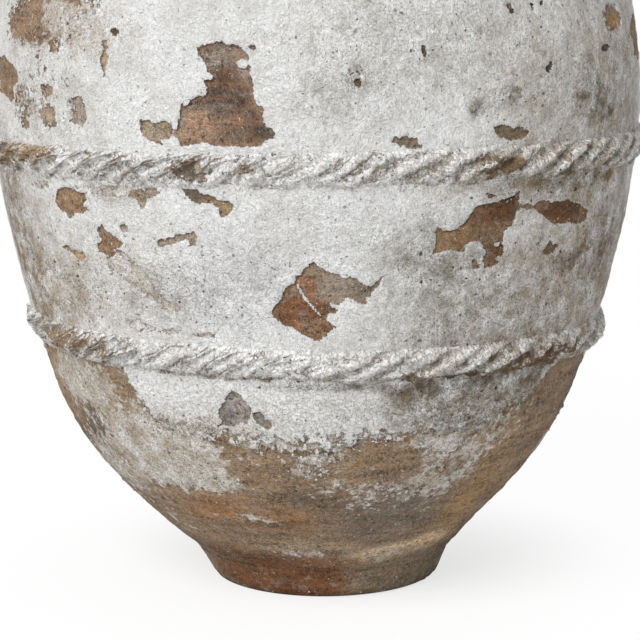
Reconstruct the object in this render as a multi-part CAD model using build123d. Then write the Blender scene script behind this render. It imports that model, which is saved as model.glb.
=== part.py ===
from build123d import *
import os
from math import atan2, cos, degrees, pi, radians, sin, tan

# Greek pithos: a coil-built storage jar of coarse clay with finger-pressed rope bands and a limewash coat.
# Millimetres, +Z up, the origin in the middle of the flat underside, the photographed side towards -Y.

# Foot and floor: the jar stands on a flat clay slab with a foot ring pressed round it
foot_radius = 121
foot_height = 34
foot_edge_round = 10

# Wall: outer radius and height of each joint between two courses, and the lean from upright at both ends
ankle_radius = 138
ankle_lean = 45
lower_swell_radius = 262.8
lower_swell_height = 180
lower_band_radius = 298.9
lower_band_height = 281
middle_radius = 321
middle_height = 372
upper_band_radius = 337.4
upper_band_height = 470
belly_radius = 340
belly_height = 528
shoulder_band_radius = 317.4
shoulder_band_height = 659
shoulder_swell_radius = 265
shoulder_swell_height = 750
neck_foot_radius = 175
neck_foot_height = 832
neck_foot_lean = -58
wall_thickness = 22
scarf_rise = 14

# Neck and rolled rim
neck_waist_radius = 165
neck_bore_radius = 142
neck_height = 30
rim_outer_radius = 198
rim_bore_radius = 146
rim_height = 38
rim_underside_rise = 12
rim_outer_round = 12
rim_inner_round = 5

# Rope bands: a clay strip over each wall joint, pressed slantwise with a finger every few centimetres
rope_height = 37
rope_proud = 11
rope_root = 6
finger_pitch = 35
finger_radius = 13
finger_depth = 6.5
finger_lean = 38
finger_unevenness = 0.25

# Turn in radians from one mark of the hand to the next in its slow waver, so that no two neighbours match
hand_step = 2.4

# Limewash: a brushed coat that ends in a worn edge low on the wall and has flaked through in places
limewash_thickness = 1.6
limewash_hem_height = 206
worn_bite_count = 11
worn_bite_width = 74
worn_bite_depth = 17
worn_bite_unevenness = 0.35

# Flakes: name of the coat, azimuth in degrees from the front, height, then the outline on the wall,
# to the right and up from that place
flakes = [
    ("belly", -15, 535, [(-38, -42), (-22, -38), (0, -44), (30, -40), (46, -34), (48, -26), (36, -18),
                         (32, 0), (28, 28), (18, 42), (0, 52), (-21, 44), (-14, 20), (-15, 4), (-32, -4)]),
    ("belly", -26, 502, [(-20, 4), (-8, 11), (12, 9), (18, -4), (4, -11), (-12, -9)]),
    ("belly", 32.5, 501, [(-21, 2), (-12, 10), (0, 5), (14, 9), (21, 0), (2, -9)]),
    ("belly", 3.5, 559, [(-9, -2), (-4, 9), (7, 8), (9, -4), (1, -9)]),
    ("middle", 27.5, 408, [(-46, 8), (-30, 2), (-12, 10), (22, 30), (42, 36), (44, 22), (30, 6), (32, -20),
                           (20, -25), (24, -32), (10, -36), (2, -24), (-30, -16), (-48, -26), (-42, -8)]),
    ("middle", 45.5, 421, [(-50, 6), (-22, 12), (20, 8), (42, -2), (36, -13), (0, -11), (-28, 0)]),
    ("middle", 0, 345, [(-42, -8), (-26, 14), (-10, 36), (14, 31), (50, 18), (54, 8), (26, -2), (6, -4),
                        (2, -20), (16, -24), (4, -38), (-24, -27)]),
    ("middle", -23.5, 401, [(-24, 2), (-6, 6), (22, 8), (24, -2), (8, -5), (-10, -8)]),
    ("middle", -38.5, 396, [(-27, 10), (-8, 6), (6, 13), (23, 2), (8, -13), (-8, -6)]),
    ("lower", -14.5, 234, [(-25, -12), (-20, 4), (-8, 20), (4, 12), (12, -2), (25, -16), (8, -20)]),
]


def leaning(lean):
    """Unit vector (radius, height) up a wall that leans outwards by this angle."""
    return Vector(sin(radians(lean)), cos(radians(lean)))


def square_to(along):
    """Unit vector square to a wall that runs up along this one, pointing away from the axis."""
    return Vector(along.Y, -along.X)


def lathe(lines):
    """Turn a closed section, drawn as radius and height, about the axis."""
    return revolve(Plane.XZ * make_face(lines), Axis.Z)


def beside(line, distance, first_slide=0, last_slide=0):
    """A line that runs a distance outside the given one, its ends slid up along the wall."""
    places = (0, 0.25, 0.5, 0.75, 1)
    slides = (first_slide, 0, 0, 0, last_slide)
    points = []
    for place, slide in zip(places, slides):
        along = line % place
        points.append(line @ place + square_to(along) * distance + along * slide)
    return Spline(*points, tangents=(line % 0, line % 1))


def between(line, other):
    """Ring between two lines that run side by side up the wall."""
    return lathe(line + Line(line @ 1, other @ 1) + other + Line(other @ 0, line @ 0))


def rope_blank(joint):
    """Plain half-round clay strip over a wall joint, with a root that reaches into the wall."""
    up = profile.tangent_at(joint)
    out = square_to(up)
    top = joint + up * rope_height / 2
    bottom = joint - up * rope_height / 2
    face = ThreePointArc(bottom, joint + out * rope_proud, top)
    root = Polyline(top, top - out * rope_root, bottom - out * rope_root, bottom)
    return lathe(face + root)


def rope_band(joint, walls):
    """Rope band seated on the walls that it covers, with a slanting finger mark at every pitch."""
    up = profile.tangent_at(joint)
    out = square_to(up)
    count = round(2 * pi * (joint + out * rope_proud).X / finger_pitch)
    marks = []
    for number in range(count):
        depth = finger_depth * (1 + finger_unevenness * sin(hand_step * number))
        place = joint + out * (rope_proud + finger_radius - depth)
        mark = Rot(X=90 + finger_lean) * Cylinder(finger_radius, 3 * rope_height)
        mark = Pos(place.X, 0, place.Y) * Rot(Y=degrees(atan2(up.X, up.Y))) * mark
        marks.append(Rot(Z=number * 360 / count) * mark)
    return rope_blank(joint) - walls - marks


def flake_window(course_radius, azimuth, height, outline):
    """Prism that cuts a flake's outline through the coat, square to the wall."""
    turn = radians(azimuth)
    side = Vector(cos(turn), sin(turn), 0)
    front = Vector(sin(turn), -cos(turn), 0)
    seat = front * (course_radius - 2 * wall_thickness) + Vector(0, 0, height)
    outline_face = make_face(Polyline(*outline, close=True))
    return extrude(Plane(seat, x_dir=side, z_dir=front) * outline_face, 3 * wall_thickness)


def worn_bite(number):
    """Lens-shaped bite out of the worn lower edge of the limewash, each of another size."""
    half_width = worn_bite_width * (1 + worn_bite_unevenness * sin(hand_step * number))
    half_depth = worn_bite_depth * (1 + worn_bite_unevenness * cos(hand_step * number))
    azimuth = number * 360 / worn_bite_count
    lens = Rot(Y=90) * Rot(Z=90) * extrude(Ellipse(half_width, half_depth), lower_band_radius)
    return Rot(Z=azimuth) * Pos(foot_radius, 0, limewash_hem_height) * lens


# Wall courses: each was raised from coils on the bevelled edge of the one below
ankle = Vector(ankle_radius, foot_height)
lower_swell = Vector(lower_swell_radius, lower_swell_height)
lower_band = Vector(lower_band_radius, lower_band_height)
middle = Vector(middle_radius, middle_height)
upper_band = Vector(upper_band_radius, upper_band_height)
belly = Vector(belly_radius, belly_height)
shoulder_band = Vector(shoulder_band_radius, shoulder_band_height)
shoulder_swell = Vector(shoulder_swell_radius, shoulder_swell_height)
neck_foot = Vector(neck_foot_radius, neck_foot_height)
joints = [ankle, lower_swell, lower_band, middle, upper_band, belly, shoulder_band, shoulder_swell, neck_foot]
profile = Spline(*joints, tangents=(leaning(ankle_lean), leaning(neck_foot_lean)))
scarfs = [0] + [scarf_rise] * (len(joints) - 2) + [0]
insides = []
courses = []
for number in range(len(joints) - 1):
    line = profile.trim(joints[number], joints[number + 1])
    insides.append(beside(line, -wall_thickness, scarfs[number], scarfs[number + 1]))
    courses.append(between(line, insides[-1]))
parts = {f"wall_course_{number}": course for number, course in enumerate(courses, 1)}

# Foot ring and floor slab: the ring carries on the slope of the wall inside, down to the floor
ankle_inside = insides[0] @ 0
floor_radius = ankle_inside.X - (ankle_inside.Y - foot_height) * tan(radians(ankle_lean))
foot_section = make_face(
    Polyline(
        (floor_radius, 0),
        (foot_radius, 0),
        (ankle_radius, foot_height),
        (ankle_inside.X, ankle_inside.Y),
        (floor_radius, foot_height),
        close=True,
    )
)
foot_edge = foot_section.vertices().sort_by(Axis.Y)[:2].sort_by(Axis.X)[-1]
parts["foot_ring"] = revolve(Plane.XZ * fillet(foot_edge, foot_edge_round), Axis.Z)
parts["base_slab"] = Pos(0, 0, foot_height / 2) * Cylinder(floor_radius, foot_height)

# Neck ring: luted into the opening of the shoulder, waisted outside and straight inside
neck_inside = insides[-1] @ 1
neck_top = neck_foot_height + neck_height
neck_lip_height = neck_inside.Y + (neck_inside.X - neck_bore_radius) / tan(radians(-neck_foot_lean))
neck_waist = (neck_waist_radius, neck_top)
parts["neck_ring"] = lathe(
    Spline(neck_foot, neck_waist, tangents=(leaning(neck_foot_lean), leaning(0)))
    + Polyline(
        neck_waist,
        (neck_bore_radius, neck_top),
        (neck_bore_radius, neck_lip_height),
        (neck_inside.X, neck_inside.Y),
        neck_foot,
    )
)

# Rim: a thick roll with a flat top, overhanging the neck
rim_top = neck_top + rim_height
rim_section = make_face(
    Polyline(
        (rim_bore_radius, neck_top),
        (neck_waist_radius, neck_top),
        (rim_outer_radius, neck_top + rim_underside_rise),
        (rim_outer_radius, rim_top),
        (rim_bore_radius, rim_top),
        close=True,
    )
)
rim_section = fillet(rim_section.vertices().sort_by(Axis.X)[-2:], rim_outer_round)
rim_mouth_edge = rim_section.vertices().sort_by(Axis.X)[:2].sort_by(Axis.Y)[-1]
parts["rim_roll"] = revolve(Plane.XZ * fillet(rim_mouth_edge, rim_inner_round), Axis.Z)

# Rope bands over every second joint of the courses
banded = {"lower": lower_band, "upper": upper_band, "shoulder": shoulder_band}
for place, joint in banded.items():
    above = joints.index(joint)
    parts[place + "_rope_band"] = rope_band(joint, courses[above - 1 : above + 1])

# Limewash coat from band to band, with the worn hem and the flakes cut through
coat_ends = {
    "lower": (ankle, lower_band),
    "middle": (lower_band, upper_band),
    "belly": (upper_band, shoulder_band),
    "shoulder": (shoulder_band, neck_foot),
}
bands = [rope_blank(joint) for joint in banded.values()]
bare_foot = Pos(0, 0, limewash_hem_height / 2) * Cylinder(2 * belly_radius, limewash_hem_height)
worn_hem = [bare_foot] + [worn_bite(number) for number in range(worn_bite_count)]
for place, (start, end) in coat_ends.items():
    line = profile.trim(start, end)
    windows = [flake_window((line @ 0.5).X, *flake[1:]) for flake in flakes if flake[0] == place]
    cuts = bands + windows + (worn_hem if place == "lower" else [])
    parts[place + "_limewash"] = between(line, beside(line, limewash_thickness)) - cuts

os.makedirs("parts", exist_ok=True)
for name, solid in parts.items():
    export_step(solid, "parts/" + name + ".step")
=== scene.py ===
import math

import bpy
import numpy as np
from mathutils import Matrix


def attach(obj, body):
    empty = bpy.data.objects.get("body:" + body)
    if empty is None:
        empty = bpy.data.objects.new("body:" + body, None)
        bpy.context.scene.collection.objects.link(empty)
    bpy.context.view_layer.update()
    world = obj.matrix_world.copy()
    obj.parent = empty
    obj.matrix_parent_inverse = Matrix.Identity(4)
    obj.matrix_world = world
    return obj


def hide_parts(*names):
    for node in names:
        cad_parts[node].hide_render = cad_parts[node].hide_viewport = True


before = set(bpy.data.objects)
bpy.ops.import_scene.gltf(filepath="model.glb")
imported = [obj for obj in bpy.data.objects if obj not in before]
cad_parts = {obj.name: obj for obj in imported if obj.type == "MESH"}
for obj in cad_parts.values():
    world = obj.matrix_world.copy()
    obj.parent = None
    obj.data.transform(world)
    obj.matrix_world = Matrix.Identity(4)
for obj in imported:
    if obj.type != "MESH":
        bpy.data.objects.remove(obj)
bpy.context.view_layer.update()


# Base slab: the round floor that the jar was raised on, patted flat from coarse clay.
# It is bare and fired buff to red-brown, and shows inside the jar and underneath.
# The foot ring is pressed on round its edge.

class Field:
    """A value over a surface, worked out by the nodes of one tree, so that a formula reads as one."""

    def __init__(self, tree, socket):
        self.tree = tree
        self.socket = socket

    def math(self, operation, *others):
        return add_node(self.tree, "ShaderNodeMath", (self, *others), operation=operation)[0]

    def __add__(self, other):
        return self.math("ADD", other)

    def __sub__(self, other):
        return self.math("SUBTRACT", other)

    def __rsub__(self, other):
        return self * -1 + other

    def __mul__(self, other):
        return self.math("MULTIPLY", other)

    def least(self, other):
        return self.math("MINIMUM", other)

    def most(self, other):
        return self.math("MAXIMUM", other)

    def bell(self):
        """1 where the value is 0, falling off smoothly on both sides."""
        return (self * self * -1).math("EXPONENT")

    def rise(self, low, high):
        """Smooth step from 0 at the low value to 1 at the high one."""
        return add_node(self.tree, "ShaderNodeMapRange", (self, low, high), interpolation_type="SMOOTHSTEP")[0]


def fields(tree, sockets):
    """The outputs of a node as fields, by number and by name."""
    return {key: Field(tree, socket) for number, socket in enumerate(sockets) for key in (number, socket.name)}


def feed(slot, value):
    """Set an input to a number or colour, or link it to a field."""
    if isinstance(value, Field):
        value.tree.links.new(value.socket, slot)
    else:
        slot.default_value = value


def feed_all(slots, values):
    """Set or link several inputs, in order or by name."""
    for slot, value in values.items() if isinstance(values, dict) else enumerate(values):
        feed(slots[slot], value)


def add_node(tree, kind, inputs=(), **settings):
    """Add a node with its settings and its inputs, in order or by name, and return its outputs."""
    node = tree.nodes.new(kind)
    for label, value in settings.items():
        setattr(node, label, value)
    feed_all(node.inputs, inputs)
    return fields(tree, node.outputs)


def stretched(place, factors):
    """The place with each axis scaled, so that a pattern runs along the axis that is scaled least."""
    return add_node(place.tree, "ShaderNodeVectorMath", (place, factors), operation="MULTIPLY")[0]


def clouds(place, size, detail=3.0, roughness=0.55):
    """Cloudy unevenness of about this size in metres, mostly -1 to 1 round a mean of 0."""
    inputs = {"Vector": place, "Scale": 1 / size, "Detail": detail, "Roughness": roughness}
    return add_node(place.tree, "ShaderNodeTexNoise", inputs)[0] * 4 - 2


def shaken(place, size, reach):
    """The place moved about by up to a reach in metres, so that what is drawn there gets an uneven outline."""
    noise = add_node(place.tree, "ShaderNodeTexNoise", {"Vector": place, "Scale": 1 / size})["Color"]
    spread = (2 * reach, 2 * reach, 2 * reach)
    return add_node(place.tree, "ShaderNodeVectorMath", (noise, spread, place), operation="MULTIPLY_ADD")[0]


SPECK_EDGE = 0.4


def specks(place, spacing, share, largest):
    """Specks: 1 on a speck, 0 between. Only a share of the cells has one, with a radius up to a part of the spacing."""
    cells = add_node(place.tree, "ShaderNodeTexVoronoi", {"Vector": place, "Scale": 1 / spacing})
    chance = add_node(place.tree, "ShaderNodeSeparateColor", (cells["Color"],))[0]
    size = (chance - (1 - share)) * (largest / share)
    return (size - cells["Distance"]).rise(0, SPECK_EDGE * largest)


def blend(share, first, second):
    """Colour that goes from the first to the second with the share."""
    return add_node(share.tree, "ShaderNodeMix", {0: share, 6: first, 7: second}, data_type="RGBA")[2]


def brighten(colour, factor):
    """Colour made lighter or darker by a factor round 1."""
    return add_node(colour.tree, "ShaderNodeVectorMath", {0: colour, "Scale": factor}, operation="SCALE")[0]


def add_sockets(tree, in_out, sockets):
    """Give a tree its named inputs or outputs."""
    for label, kind in sockets.items():
        tree.interface.new_socket(label, in_out=in_out, socket_type="NodeSocket" + kind)


def open_tree(name, kind, inputs, outputs):
    """Empty tree of nodes with named inputs and outputs."""
    tree = bpy.data.node_groups.new(name, kind)
    add_sockets(tree, "INPUT", inputs)
    add_sockets(tree, "OUTPUT", outputs)
    return tree, add_node(tree, "NodeGroupInput"), tree.nodes.new("NodeGroupOutput").inputs


def chip(red, green, blue):
    """Colour of a paint chip read on a screen, 0 to 255, as light."""
    return tuple(((part / 255 + 0.055) / 1.055) ** 2.4 for part in (red, green, blue)) + (1.0,)


# Gritty clay: blotches, ash, rust and soot of the firing, streaks of the smoothing hand, and pale and dark grit
GRIT_LIGHT = chip(228, 220, 204)
GRIT_DARK = chip(48, 38, 30)
CLAY_ASH = chip(132, 124, 114)
CLAY_RUST = chip(122, 82, 56)
CLAY_SOOT = chip(72, 60, 50)
clay_group, given, gives = open_tree(
    "Gritty clay",
    "ShaderNodeTree",
    {"Place": "Vector", "Tone": "Color", "Streaks": "Float"},
    {"Color": "Color", "Height": "Float"},
)
place = given["Place"]
uneven = shaken(place, 0.005, 0.003)
blotches = clouds(place, 0.026, 5, 0.65)
patches = clouds(uneven, 0.010, 4, 0.65)
soot = clouds(stretched(uneven, (0.9, 0.9, -1.3)), 0.014, 5, 0.72)
crumbs = clouds(place, 0.0042, 4, 0.7)
grain = clouds(place, 0.0013, 2, 0.6)
streaks = clouds(stretched(place, (0.12, 0.12, 1)), 0.010, 5, 0.65)
pale_grit = specks(uneven, 0.0042, 0.45, 0.27)
dark_grit = specks(stretched(uneven, (1.03, 0.97, 1.05)), 0.0058, 0.6, 0.38)
light = blotches * 0.30 + crumbs * 0.62 + grain * 0.75 + streaks * given["Streaks"] + 1.14
clay_colour = blend(patches.rise(0.12, 0.5) * 0.6, given["Tone"], CLAY_ASH)
clay_colour = blend((0 - patches).rise(0.2, 0.6) * 0.5, clay_colour, CLAY_RUST)
clay_colour = blend(soot.rise(0.3, 1.0) * 0.55, clay_colour, CLAY_SOOT)
clay_colour = brighten(clay_colour, light.most(0.2))
clay_colour = blend(pale_grit * 0.9, clay_colour, GRIT_LIGHT)
clay_colour = blend(dark_grit * 0.65, clay_colour, GRIT_DARK)
clay_relief = crumbs * 0.0013 + grain * 0.0005 + streaks * 0.0005 + pale_grit * 0.0006 - dark_grit * 0.0012
feed_all(gives, {"Color": clay_colour, "Height": clay_relief})

SLAB_TONE = chip(140, 112, 86)
SLAB_ROUGHNESS = 0.9


def place_group(tree, group, **values):
    """Place an effect in a material with its own values."""
    return add_node(tree, "ShaderNodeGroup", values, node_tree=group)


def new_material(name):
    """New material and the tree of its nodes."""
    material = bpy.data.materials.new(name)
    material.use_nodes = True
    return material, material.node_tree


EARTH_GLOSS = 0.25


def matt_shader(colour, height, roughness):
    """Matt earthen surface with a colour and a relief in metres."""
    bump = add_node(colour.tree, "ShaderNodeBump", {"Distance": 1.0, "Height": height})
    look = {"Base Color": colour, "Normal": bump[0], "Roughness": roughness, "Specular IOR Level": EARTH_GLOSS}
    feed_all(colour.tree.nodes["Principled BSDF"].inputs, look)


slab_clay, tree = new_material("bare slab clay")
slab_place = add_node(tree, "ShaderNodeTexCoord")["Object"]
slab_look = place_group(tree, clay_group, Place=slab_place, Tone=SLAB_TONE, Streaks=0.0)
matt_shader(slab_look["Color"], slab_look["Height"], SLAB_ROUGHNESS)
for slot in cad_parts["base_slab"].material_slots:
    slot.material = slab_clay


# Wall: four stretches of coil-built wall, from the foot to the first rope band and then from band to band.
# Coarse fired clay under a brushed limewash, which has worn off above the foot and flaked through in places.
# Each stretch is luted to the next under a rope band, so the joints are covered.

# Joints of the wall: outer radius and height
ANKLE = (0.138, 0.034)
LOWER_BAND = (0.2989, 0.281)
UPPER_BAND = (0.3374, 0.470)
SHOULDER_BAND = (0.3174, 0.659)
NECK_FOOT = (0.175, 0.832)
WALL_JOINTS = [ANKLE, (0.2628, 0.180), LOWER_BAND, (0.321, 0.372), UPPER_BAND, (0.340, 0.528), SHOULDER_BAND,
               (0.265, 0.750), NECK_FOOT]
ANKLE_LEAN = math.radians(45)
NECK_FOOT_LEAN = math.radians(-58)
WALL_THICKNESS = 0.022
COAT_THICKNESS = 0.0016

# Foot line below the ankle, for what is seen of the foot
FOOT_LINE = [(0.112, 0.0), (0.118, 0.003), (0.1225, 0.009)]

# Photographed view: lens, eye and tilt, the width of the picture in pixels, and how near and far the jar is
LENS = 123.75
SENSOR = 36.0
EYE = (0.004, -2.355, 0.661)
TILT = math.radians(9.293)
PICTURE = 640
NEAREST = 1.9
FARTHEST = 2.7

# Steps along a line of sight, and along a curve between two of its points
SIGHT_STEPS = 3200
CURVE_STEPS = 200


def smooth_line(points, first_lean, last_lean, step=0.0005):
    """Points at an even step along the smooth line through these, which leaves and ends at the given leans."""
    points = np.array(points)
    gaps = np.linalg.norm(np.diff(points, axis=0), axis=1)
    count = len(points)
    rows = np.zeros((count, count))
    goal = np.zeros((count, 2))
    rows[0, 0] = rows[-1, -1] = 1
    goal[0] = math.sin(first_lean), math.cos(first_lean)
    goal[-1] = math.sin(last_lean), math.cos(last_lean)
    for at in range(1, count - 1):
        before, after = 1 / gaps[at - 1], 1 / gaps[at]
        rows[at, at - 1 : at + 2] = before, 2 * (before + after), after
        goal[at] = 3 * ((points[at] - points[at - 1]) * before**2 + (points[at + 1] - points[at]) * after**2)
    slopes = np.linalg.solve(rows, goal)
    part = np.linspace(0, 1, CURVE_STEPS, endpoint=False)[:, None]
    fine = []
    for at in range(count - 1):
        fine.append(
            (2 * part**3 - 3 * part**2 + 1) * points[at]
            + (part**3 - 2 * part**2 + part) * gaps[at] * slopes[at]
            + (3 * part**2 - 2 * part**3) * points[at + 1]
            + (part**3 - part**2) * gaps[at] * slopes[at + 1]
        )
    return even_line(np.vstack(fine + [points[-1:]]), step)


def even_line(points, step):
    """The same line with points at an even step, both ends kept."""
    length = np.concatenate([[0], np.cumsum(np.linalg.norm(np.diff(points, axis=0), axis=1))])
    along = np.linspace(0, length[-1], max(2, round(length[-1] / step) + 1))
    return np.stack([np.interp(along, length, points[:, axis]) for axis in (0, 1)], axis=1)


wall_line = smooth_line(WALL_JOINTS, ANKLE_LEAN, NECK_FOOT_LEAN)
seen_line = np.vstack([FOOT_LINE, wall_line])
seen_arc = np.concatenate([[0], np.cumsum(np.linalg.norm(np.diff(seen_line, axis=0), axis=1))])


def radius_at(height):
    """Outer radius of the wall at this height."""
    return np.interp(height, seen_line[:, 1], seen_line[:, 0])


def arc_at(height):
    """Length along the wall line from the floor to this height."""
    return np.interp(height, seen_line[:, 1], seen_arc)


def radius_up(arc):
    """Outer radius of the wall at this length up the wall line."""
    return np.interp(arc, seen_arc, seen_line[:, 0])


def turns(steps):
    """Azimuths of an even number of steps round the axis."""
    return np.arange(steps) * 2 * math.pi / steps


def from_photo(pixels):
    """Azimuth from the front and length up the wall of places in the photograph, on the outline if beside the jar."""
    pixels = np.array(pixels, dtype=float)
    focal = LENS / SENSOR * PICTURE
    right = (pixels[:, 0] - PICTURE / 2) / focal
    down = (pixels[:, 1] - PICTURE / 2) / focal
    forward = math.cos(TILT) - down * math.sin(TILT)
    sinking = math.sin(TILT) + down * math.cos(TILT)
    reach = np.linspace(NEAREST, FARTHEST, SIGHT_STEPS)[:, None]
    x = EYE[0] + right * reach
    y = EYE[1] + forward * reach
    z = EYE[2] - sinking * reach
    outside = np.hypot(x, y) - radius_at(z)
    met = outside <= 0
    hit = np.where(met.any(axis=0), met.argmax(axis=0), outside.argmin(axis=0))
    pick = hit, np.arange(len(pixels))
    return np.stack([np.arctan2(x[pick], -y[pick]), arc_at(z[pick])], axis=1)


def add_object(name, data):
    """Put a mesh, a lamp or a camera in the scene."""
    thing = bpy.data.objects.new(name, data)
    bpy.context.scene.collection.objects.link(thing)
    return thing


def ring(name, section, steps):
    """Closed ring turned from a section of (radius, height) points, up the outside and down the inside.
    The section may have another set of points at each step round the axis."""
    section = np.array(section, dtype=float)
    if section.ndim == 2:
        section = np.repeat(section[:, None], steps, axis=1)
    turn = turns(steps)
    along = np.roll(section, -1, axis=0) - np.roll(section, 1, axis=0)
    square = np.stack([along[..., 1], -along[..., 0]], axis=2)
    square /= np.linalg.norm(square, axis=2, keepdims=True)
    places = turned(section, turn)
    outwards = turned(square, turn)
    row, step = np.meshgrid(np.arange(len(section)), np.arange(steps), indexing="ij")
    above = (row + 1) % len(section) * steps
    beside = (step + 1) % steps
    faces = np.stack([row * steps + step, row * steps + beside, above + beside, above + step], axis=2)
    mesh = bpy.data.meshes.new(name)
    mesh.from_pydata(places.reshape(-1, 3).tolist(), [], faces.reshape(-1, 4).tolist())
    mesh.shade_smooth()
    note(mesh, "outward", outwards.reshape(-1, 3))
    return add_object(name, mesh)


def turned(points, turn):
    """(radius, height) points set round the axis, the front towards -Y and the right towards +X."""
    return np.stack([points[..., 0] * np.sin(turn), -points[..., 0] * np.cos(turn), points[..., 1]], axis=2)


def note(mesh, label, values):
    """Keep a value, a direction or a colour for each point of a mesh."""
    kinds = {1: ("FLOAT", "value"), 3: ("FLOAT_VECTOR", "vector"), 4: ("FLOAT_COLOR", "color")}
    kind, field = kinds[1 if values.ndim == 1 else values.shape[1]]
    mesh.attributes.new(label, kind, "POINT").data.foreach_set(field, values.astype(np.float32).ravel())


def offset_line(line, distance):
    """Line beside another, at a distance towards the outside."""
    along = np.gradient(line, axis=0)
    along /= np.linalg.norm(along, axis=1, keepdims=True)
    return line + np.stack([along[:, 1], -along[:, 0]], axis=1) * distance


SWAY = 0.010
SWAY_HEIGHT = 0.085


def swayed(section, share, steps):
    """Section at each step round the axis, its foot strayed to the right as on the jar, by a share for each point."""
    turn = turns(steps)
    rest = np.clip(section[:, 1] / SWAY_HEIGHT, 0, 1)
    strays = SWAY * (1 - rest * rest * (3 - 2 * rest)) * share
    round_section = np.repeat(section[:, None], steps, axis=1)
    round_section[..., 0] += strays[:, None] * np.sin(turn)
    return round_section


INSIDE_STEP = 0.012
HAIR = 1e-6


def wall_stretch(name, bottom, top, outer_step, steps):
    """Ring of wall between two joints, its line outside and how many rows it has inside."""
    within = (wall_line[:, 1] >= bottom[1] - HAIR) & (wall_line[:, 1] <= top[1] + HAIR)
    line = wall_line[within]
    outside = even_line(line, outer_step)
    inside = even_line(offset_line(line, -WALL_THICKNESS), INSIDE_STEP)[::-1]
    share = np.repeat([1.0, 0.0], [len(outside), len(inside)])
    return ring(name, swayed(np.vstack([outside, inside]), share, steps), steps), outside, len(inside)


def depth_inside(outline, points):
    """How deep points lie inside a closed outline, negative outside it."""
    start = outline
    span = np.roll(outline, -1, axis=0) - start
    reach = points[:, None] - start
    along = np.clip((reach * span).sum(2) / (span * span).sum(1), 0, 1)
    gap = np.linalg.norm(reach - along[..., None] * span, axis=2).min(1)
    level = (start[:, 1] > points[:, None, 1]) != (start[:, 1] + span[:, 1] > points[:, None, 1])
    steep = np.where(span[:, 1] == 0, 1e-12, span[:, 1])
    left = points[:, None, 0] < start[:, 0] + span[:, 0] * reach[..., 1] / steep
    return np.where((level & left).sum(1) % 2 == 1, gap, -gap)


def on_wall(azimuth, arc, centre):
    """Azimuths and lengths up the wall as distances right and up from a centre."""
    turn = (azimuth - centre[0] + math.pi) % (2 * math.pi) - math.pi
    return np.stack([turn * radius_up(centre[1]), arc - centre[1]], axis=-1)


# Distances in millimetres noted on the mesh: FAR is clear of every flake, SOUND an unworn coat and GONE a lost one
MM = 1000
FAR = 14.0
SOUND = 16.0
GONE = -14.0


def outline_depth(azimuth, arc, outline):
    """How deep in millimetres places on the wall lie inside an outline, up to FAR either way."""
    centre = outline.mean(0)
    shape = on_wall(outline[:, 0], outline[:, 1], centre)
    places = on_wall(azimuth, arc, centre)
    near = np.all(np.abs(places) < np.abs(shape).max(0) + FAR / MM, axis=1)
    depth = np.full(len(azimuth), -FAR)
    depth[near] = depth_inside(shape, places[near]) * MM
    return np.clip(depth, -FAR, FAR)


def fading(places):
    """1 in the middle, fading out round a distance of 1."""
    return np.exp(-0.9 * (places**2).sum(1) ** 1.5)


def spot(azimuth, arc, x, y, half_width, half_height):
    """Soft spot seen in the photograph: 1 in the middle, fading out round its half sizes in pixels."""
    inwards = math.copysign(half_width, PICTURE / 2 - x)
    centre, side, edge = from_photo([(x, y), (x + inwards, y), (x, y - half_height)])
    reach = np.abs(on_wall(side[:1], centre[1:], centre)[0, 0]), abs(edge[1] - centre[1])
    return fading(on_wall(azimuth, arc, centre) / reach)


def spots(azimuth, arc, table):
    """Sum of the soft spots of a table, each as strong as its last value."""
    return sum(spot(azimuth, arc, *where) * strength for *where, strength in table)


def tinted(azimuth, arc, ground, tints):
    """Colours of places on the wall: a ground with the soft tints of a table laid over it."""
    colours = np.tile(chip(*ground), (len(arc), 1))
    for *where, colour, strength in tints:
        share = np.clip(spot(azimuth, arc, *where) * strength, 0, 1)[:, None]
        colours = colours * (1 - share) + np.array(chip(*colour)) * share
    return colours


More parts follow.
